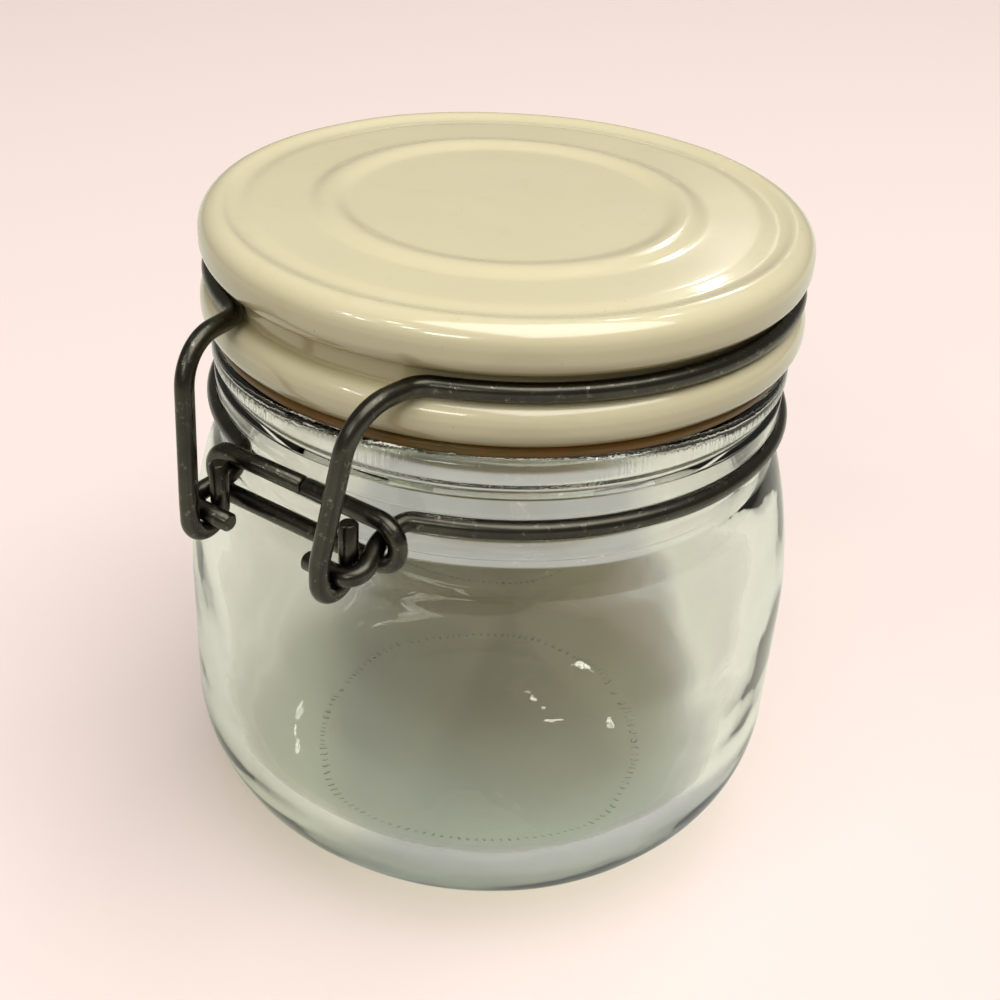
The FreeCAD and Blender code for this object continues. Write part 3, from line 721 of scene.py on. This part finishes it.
# Floor, light and camera
stageValues = {
    "floorSize": 6.0, "floorSeen": srgb(245, 229, 227), "floorBounce": srgb(128, 116, 96),
    # the third colour here is a painted shadow on the floor, seen only through glass and in gloss; the shade
    # values below place it
    "floorNear": srgb(188, 189, 190), "floorSide": srgb(226, 226, 216), "floorPaintedShadow": srgb(142, 131, 112),
    "viewWay": (0.762, 0.648), "shadeAt": (14, 34), "shadeReach": (40, 46), "shadeFade": (1.9, 0.1),
    "sideFade": (35, 52), "floorFade": (500, 1600),
    "worldSeen": srgb(252, 235, 229), "worldLight": srgb(205, 203, 192), "worldStrength": 0.37,
    "keyAzimuth": 80, "keyElevation": 74, "keyAway": 2.2, "keySize": 2.0, "keyPower": 52,
    "keyColour": (1.0, 0.975, 0.93), "lampPower": 0.45, "lampAway": 1.2, "lampColour": (1, 0.98, 0.94),
    "lightsAimAt": (0, 0, 0.08),
    "cameraAt": (126.07, -186.91, 197.57), "heading": 35.85, "down": 31.83, "roll": 2.36,
    "sensor": 36, "lens": 51.88, "shift": 0.05, "clip": (0.01, 20),
}

lamps = (       # small lamps: name, azimuth, elevation, width and height in metres, share of the lamp power
    ("panel", 15, 33, 0.30, 0.12, 3.0),
    ("lampA", -27, 38, 0.06, 0.06, 0.6),
    ("lampB", -20, 35, 0.06, 0.05, 0.6),
    ("lampC", -13, 49, 0.07, 0.06, 0.6),
    ("lampD", -2, 40, 0.09, 0.06, 0.8),
    ("lampE", 162, 58, 0.12, 0.06, 0.7),
    ("lampF", -172, 58, 0.06, 0.05, 0.5),
    ("lampG", -164, 33, 0.06, 0.08, 0.5),
    ("lampH", -158, 27, 0.05, 0.05, 0.4),
)


def floorFinish():      # three floors: pale for the camera, darker with a painted shadow patch for what is seen through glass or in gloss, and one for the light that it sends back
    # glass or in gloss, and one for the light that it sends back
    s = stageValues
    f = Finish("paleFloor")
    path = f.add("ShaderNodeLightPath", out="Is Camera Ray")
    clearView = f.add("ShaderNodeMath", {"operation": "MAXIMUM"},
                      {0: path.out("Is Transmission Ray"), 1: path.out("Is Glossy Ray")})
    place = f.add("ShaderNodeSeparateXYZ", None, {0: f.place()})
    wayX, wayY = s["viewWay"]
    # an oval of painted shadow on the floor behind the jar, set along viewWay and faded at its edge
    across = place.out("X") * wayX + place.out("Y") * wayY - s["shadeAt"][0]
    beyond = place.out("Y") * wayX - place.out("X") * wayY - s["shadeAt"][1]
    wide, deep = s["shadeReach"]
    shade = f.step(across * across / wide ** 2 + beyond * beyond / deep ** 2, *s["shadeFade"])
    side = f.step(across * across, *(reach ** 2 for reach in s["sideFade"]))
    through = f.blend(side, s["floorNear"], s["floorSide"])
    # the painted shadow darkens what glass and gloss see there
    through = f.blend(shade, through, s["floorPaintedShadow"])
    through = f.blend(clearView, s["floorBounce"], through)
    tone = f.blend(path, through, s["floorSeen"])
    away = place.out("X") * place.out("X") + place.out("Y") * place.out("Y")
    fade = f.step(away, *(reach ** 2 for reach in s["floorFade"])) * path   # far off it meets the backdrop
    near = f.add("ShaderNodeBsdfDiffuse", None, {"Color": tone})
    far = f.add("ShaderNodeEmission", None, {"Color": s["worldSeen"]})
    return f.close(f.add("ShaderNodeMixShader", None, {0: fade, 1: near, 2: far}))


def stage():
    s = stageValues
    half = s["floorSize"] / 2
    mesh = bpy.data.meshes.new("floor")
    corners = [(-half, -half, 0), (half, -half, 0), (half, half, 0), (-half, half, 0)]
    mesh.from_pydata(corners, [], [(0, 1, 2, 3)])
    floor = bpy.data.objects.new("floor", mesh)
    bpy.context.scene.collection.objects.link(floor)
    mesh.materials.append(floorFinish())
    world = bpy.data.worlds.new("studio")
    bpy.context.scene.world = world
    world.use_nodes = True
    tree = world.node_tree
    tree.nodes.clear()
    rays = tree.nodes.new("ShaderNodeLightPath")
    seen, light = tree.nodes.new("ShaderNodeBackground"), tree.nodes.new("ShaderNodeBackground")
    mixed, out = tree.nodes.new("ShaderNodeMixShader"), tree.nodes.new("ShaderNodeOutputWorld")
    seen.inputs["Color"].default_value = s["worldSeen"]
    light.inputs["Color"].default_value = s["worldLight"]
    light.inputs["Strength"].default_value = s["worldStrength"]
    tree.links.new(rays.outputs["Is Camera Ray"], mixed.inputs[0])
    tree.links.new(light.outputs[0], mixed.inputs[1])
    tree.links.new(seen.outputs[0], mixed.inputs[2])
    tree.links.new(mixed.outputs[0], out.inputs["Surface"])


def areaLight(name, azimuth, elevation, distance, width, height, power, colour):
    data = bpy.data.lights.new(name, "AREA")
    data.shape = "RECTANGLE"
    data.size, data.size_y = width, height
    data.energy = power
    data.color = colour
    lamp = bpy.data.objects.new(name, data)
    bpy.context.scene.collection.objects.link(lamp)
    az, el = math.radians(azimuth), math.radians(elevation)
    way = Vector((math.sin(az) * math.cos(el), -math.cos(az) * math.cos(el), math.sin(el)))
    stand = Matrix.Translation(way * distance + Vector(stageValues["lightsAimAt"]))
    lamp.matrix_world = stand @ way.to_track_quat("Z", "Y").to_matrix().to_4x4()


def lights():
    s = stageValues
    areaLight("softAbove", s["keyAzimuth"], s["keyElevation"], s["keyAway"], s["keySize"], s["keySize"],
              s["keyPower"], s["keyColour"])
    for name, azimuth, elevation, width, height, share in lamps:
        power = s["lampPower"] * share
        areaLight(name, azimuth, elevation, s["lampAway"], width, height, power, s["lampColour"])


def camera():
    s = stageValues
    data = bpy.data.cameras.new("camera")
    data.sensor_width, data.lens, data.shift_x = s["sensor"], s["lens"], s["shift"]
    data.clip_start, data.clip_end = s["clip"]
    view = bpy.data.objects.new("camera", data)
    bpy.context.scene.collection.objects.link(view)
    view.matrix_world = (Matrix.Translation(Vector(s["cameraAt"]) * mm)
                         @ Matrix.Rotation(math.radians(s["heading"]), 4, "Z")
                         @ Matrix.Rotation(math.radians(90 - s["down"]), 4, "X")
                         @ Matrix.Rotation(math.radians(s["roll"]), 4, "Z"))
    bpy.context.scene.camera = view


stage()
lights()
camera()
bpy.context.scene.view_settings.view_transform = "Standard"
bpy.context.scene.cycles.adaptive_threshold = 0.06
print("stage, lights and camera set")
